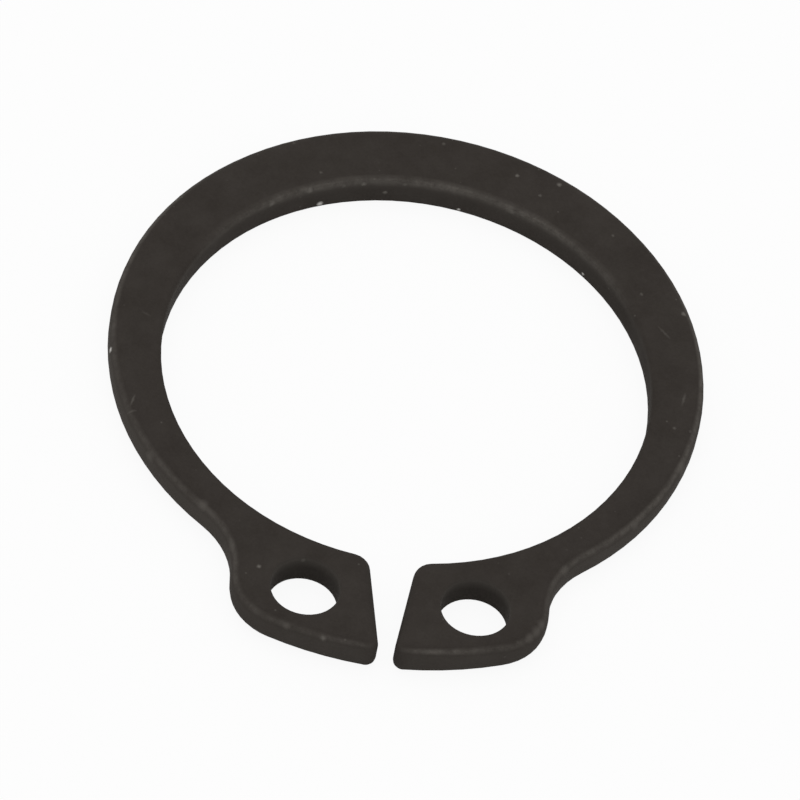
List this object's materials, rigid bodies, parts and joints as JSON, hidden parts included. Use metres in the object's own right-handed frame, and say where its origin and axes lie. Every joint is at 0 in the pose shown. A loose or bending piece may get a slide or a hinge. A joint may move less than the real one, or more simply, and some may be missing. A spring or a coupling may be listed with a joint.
{
  "type": "external retaining ring",
  "caption": "Flat black spring-steel retaining ring, open at a gap between plier-hole lugs and tapering round an eccentric rim, that snaps into a shaft groove to hold parts on the shaft.",
  "frame": {"origin": "on the shaft's axis, at the middle of the ring's thickness", "axes": "+Z along the shaft's axis, up out of the upper flat face; the gap and the lugs lie towards -Y; X runs across the gap"},
  "size_m": [0.02, 0.0227, 0.0012],
  "materials": {
    "phosphated_spring_steel": "black phosphate, lightly oiled, matt"
  },
  "bodies": {
    "root": {"retaining_ring": "phosphated_spring_steel"}
  },
  "joints": []
}
